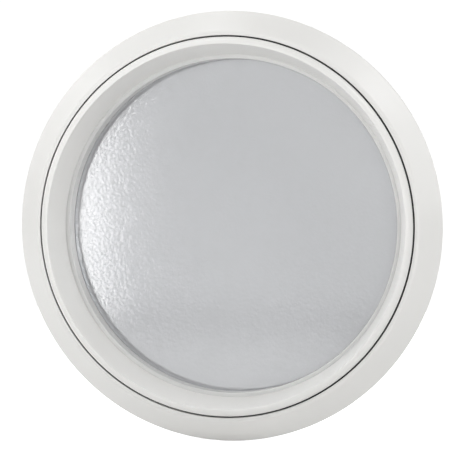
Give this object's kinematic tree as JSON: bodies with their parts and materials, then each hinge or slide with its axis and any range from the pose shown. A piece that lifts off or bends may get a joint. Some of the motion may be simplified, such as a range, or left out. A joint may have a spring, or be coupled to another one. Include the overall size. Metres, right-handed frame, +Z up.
{
  "type": "porthole window",
  "caption": "Round fixed window with a conical outer flange, rounded bezel ring and recessed obscure double glazing behind a tapered reveal.",
  "frame": {"origin": "the window's axis at the plane of the wall's outer face, where the sleeve meets the back of the flange", "axes": "+Y along the axis into the wall, so the window faces -Y; +Z up; +X to the right seen from outside"},
  "size_m": [0.4299, 0.084, 0.43],
  "materials": {
    "frame_white": "warm white, semi-gloss, moulded smooth",
    "bezel_white": "warm white, semi-gloss, moulded smooth",
    "bead_white": "white, glossy",
    "obscure_glass": "rolled obscure face, fine pebble texture, pale grey",
    "clear_glass": "clear float",
    "seal_black": "matt extruded rubber",
    "foam_black": "closed-cell foam",
    "butyl_black": "tacky butyl",
    "edge_sealant": "cured sealant",
    "gasket_grey": "light grey rubber",
    "spacer_aluminium": "mill finish, perforated",
    "connector_steel": "zinc plated",
    "desiccant_beads": "fine beads",
    "block_grey": "moulded",
    "block_blue": "moulded",
    "insert_brass": "turned",
    "screw_steel": "bright zinc"
  },
  "bodies": {
    "root": {"flange_ring": "frame_white", "wall_sleeve": "frame_white", "wall_gasket": "foam_black", "bezel_ring": "bezel_white", "bezel_seal": "seal_black", "glazing_bead": "bead_white", "front_gasket": "gasket_grey", "outer_pane": "obscure_glass", "front_butyl_seal": "butyl_black", "spacer_bar": "spacer_aluminium", "spacer_connector": "connector_steel", "desiccant_fill": "desiccant_beads", "rear_butyl_seal": "butyl_black", "edge_seal": "edge_sealant", "inner_pane": "clear_glass", "rear_gasket": "seal_black", "setting_blocks": "block_grey", "location_blocks": "block_blue", "bezel_inserts": "insert_brass", "bezel_screws": "screw_steel", "screw_washers": "screw_steel", "screw_caps": "frame_white", "trim_inserts": "insert_brass"}
  },
  "joints": []
}
